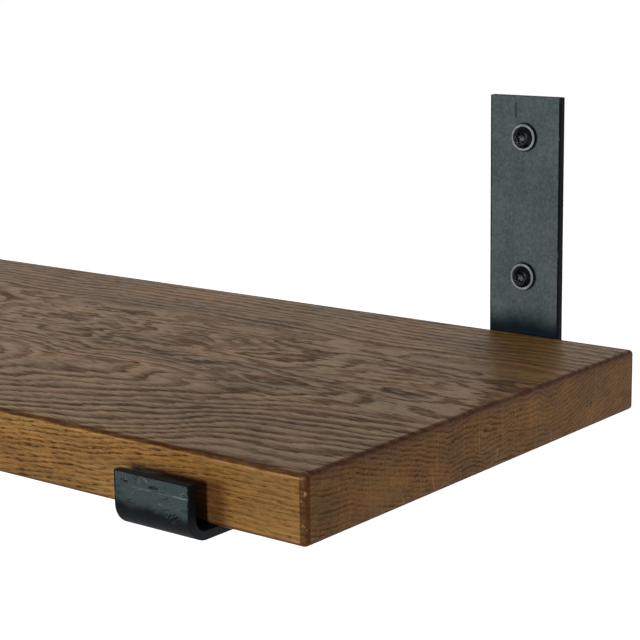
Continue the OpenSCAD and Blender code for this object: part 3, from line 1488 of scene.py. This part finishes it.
@dataclass(frozen=True)
class Studio:
    """A plain pale floor far below the shelf, soft light, and the camera.

    Attributes:
        floor_z: The height of the floor.
        floor_half: Half the length of the floor's sides.
        floor_depth: The thickness of the floor.
        floor_glow: How bright the floor itself is in the view and in reflections.
        lamps: The main light, and a soft one on the far side.
        room: How bright the room is on the object.
        dark_side: How bright the room in front of the shelf is in reflections.
        camera_place: The camera's place.
        camera_turn: How far the camera stands to the right of the front, in degrees.
        camera_tilt: How far it looks down, in degrees.
        camera_roll: How far it is rolled, in degrees.
        lens: Its focal length, in millimetres.
        sensor: The width of its sensor, in millimetres.
    """

    floor_z: float = -1.15
    floor_half: float = 8.0
    floor_depth: float = 0.02
    floor_glow: float = 0.78
    lamps: tuple[Lamp, ...] = (
        Lamp("key_lamp", 19.5, 11.0, 6.0, 2.6),
        Lamp("back_lamp", 199.5, 4.0, 30.0, 1.5, shiny=False),
    )
    room: float = 0.18
    dark_side: float = 0.15
    camera_place: tuple[float, float, float] = (0.806667, -0.758016, 0.1333)
    camera_turn: float = 38.5718
    camera_tilt: float = 12.0396
    camera_roll: float = -0.8829
    lens: float = 101.965
    sensor: float = 36.0

    def lay_floor(self) -> None:
        """Lays the floor: white in the view and in reflections, but with the shelf's shadow."""
        nodes = Nodes(bpy.data.materials.new("pale_floor"))
        path = nodes.node("ShaderNodeLightPath", {}).outputs
        seen = nodes.maths("MAXIMUM", path["Is Camera Ray"], path["Is Glossy Ray"])
        seen = nodes.maths("MAXIMUM", seen, path["Is Transmission Ray"])
        material = nodes.finish(
            {
                "Base Color": (0.9, 0.9, 0.9, 1.0),
                "Roughness": 0.9,
                "Specular IOR Level": 0.0,
                "Emission Color": WHITE,
                "Emission Strength": seen * self.floor_glow,
            }
        )
        half = self.floor_half
        corners = [(-half, -half), (half, -half), (half, half), (-half, half)]
        heights = (self.floor_z - self.floor_depth, self.floor_z)
        rings = [Ring([Vector((x, y, z)) for x, y in corners], {}) for z in heights]
        floor = Shop.loft("studio_floor", rings)
        floor.data.materials.append(material)

    def light_room(self) -> None:
        """Lights the room: dim on the object, white behind it in the view and in reflections."""
        world = bpy.data.worlds.new("pale_room")
        bpy.context.scene.world = world
        nodes = Nodes(world)
        path = nodes.node("ShaderNodeLightPath", {}).outputs
        looking = nodes.node("ShaderNodeTexCoord", {}).outputs["Generated"]
        reflected = nodes.split(looking)[1].step(-0.35, 0.25, self.dark_side)
        level: Given = self.room
        for ray, strength in (
            ("Is Glossy Ray", reflected),
            ("Is Transmission Ray", 1.0),
            ("Is Camera Ray", 1.0),
        ):
            inputs = {0: path[ray], 2: level, 3: strength}
            level = nodes.read("ShaderNodeMix", inputs, data_type="FLOAT")
        light = nodes.read("ShaderNodeBackground", {"Color": WHITE, "Strength": level})
        nodes.node("ShaderNodeOutputWorld", {"Surface": light})

    def set_camera(self) -> None:
        """Sets up the camera, in front of the shelf's right-hand end."""
        data = bpy.data.cameras.new("camera")
        data.lens = self.lens
        data.sensor_width = self.sensor
        data.clip_start = 0.01
        data.clip_end = 100.0
        turn, roll = math.radians(self.camera_turn), math.radians(self.camera_roll)
        back = direction(self.camera_turn, self.camera_tilt)
        right = Vector((math.cos(turn), math.sin(turn), 0.0))
        up = back.cross(right)
        across = right * math.cos(roll) + up * math.sin(roll)
        upward = up * math.cos(roll) - right * math.sin(roll)
        camera = bpy.data.objects.new("camera", data)
        axes = Matrix((across, upward, back)).transposed().to_4x4()
        camera.matrix_world = Matrix.Translation(Vector(self.camera_place)) @ axes
        bpy.context.scene.collection.objects.link(camera)
        bpy.context.scene.camera = camera

    def build(self) -> None:
        """Sets up the floor, the light, the camera and the plain view."""
        self.lay_floor()
        self.light_room()
        for lamp in self.lamps:
            lamp.hang()
        self.set_camera()
        bpy.context.scene.view_settings.view_transform = "Standard"
        LOG.info("studio: floor, room, %d lamps and camera", len(self.lamps))


WALL_SCREW = ScrewSizes(
    head=10.8 * MM,
    head_height=2.4 * MM,
    flat=6.6 * MM,
    recess=5.6 * MM,
    thread=6.0 * MM,
    length=35.0 * MM,
    collar=5.9 * MM,
    smooth=15.9 * MM,
    pitch=2.4 * MM,
)
SHELF_SCREW = ScrewSizes(
    head=9.0 * MM,
    head_height=2.6 * MM,
    flat=5.0 * MM,
    recess=4.0 * MM,
    thread=4.5 * MM,
    length=24.0 * MM,
    collar=4.0 * MM,
    smooth=4.0 * MM,
    pitch=1.8 * MM,
)
WALL_SPINS = {"right_top": 4.0, "right_low": 22.0, "left_top": 41.0, "left_low": 13.0}
SHELF_SPINS = {"right_front": 9.0, "right_back": 34.0, "left_front": 52.0, "left_back": 20.0}


@dataclass
class Mounting:
    """One bracket with everything that fixes it to the wall and to the board.

    Attributes:
        side: The end of the shelf.
        coat: The finish of the bracket.
        black: The finish of the screws.
        zinc: The finish of the washers.
    """

    side: Side
    coat: bpy.types.Material
    black: bpy.types.Material
    zinc: bpy.types.Material

    @staticmethod
    def middle(node: str) -> Vector:
        """Gives the centre of a CAD node's box."""
        low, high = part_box(node)
        return (low + high) / 2

    def build(self) -> None:
        """Makes the bracket, its wall screws with their washers, and its shelf screws."""
        end = self.side.name.lower()
        low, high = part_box(f"bracket_{end}")
        wall_z, shelf_y = [], []
        for row in ("top", "low"):
            name = f"{end}_{row}"
            centre = self.middle(f"wall_washer_{name}")
            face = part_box(f"wall_washer_{name}")[0].y
            axis = Axis(Vector((centre.x, face, centre.z)), INTO_WALL)
            wall_z.append(centre.z)
            Washer(axis, name).build(self.zinc)
            Screw(WALL_SCREW, axis, f"wall_screw_{name}", WALL_SPINS[name]).build(self.black)
        for row in ("front", "back"):
            name = f"{end}_{row}"
            centre = self.middle(f"shelf_screw_{name}")
            axis = Axis(Vector((centre.x, centre.y, low.z)), UP)
            shelf_y.append(centre.y)
            Screw(SHELF_SCREW, axis, f"shelf_screw_{name}", SHELF_SPINS[name]).build(self.black)
        Bracket(self.side, low, high, tuple(wall_z), tuple(shelf_y)).build(self.coat)


def main() -> None:
    """Builds the shelf and its studio."""
    logging.basicConfig(level=logging.INFO, format="%(message)s")
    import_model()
    Studio().build()
    Board(*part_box("board")).build(OakFinish().build())
    coat, black, zinc = CoatFinish().build(), ScrewFinish().build(), WasherFinish().build()
    for side in Side:
        Mounting(side, coat, black, zinc).build()


if __name__ == "__main__":
    main()
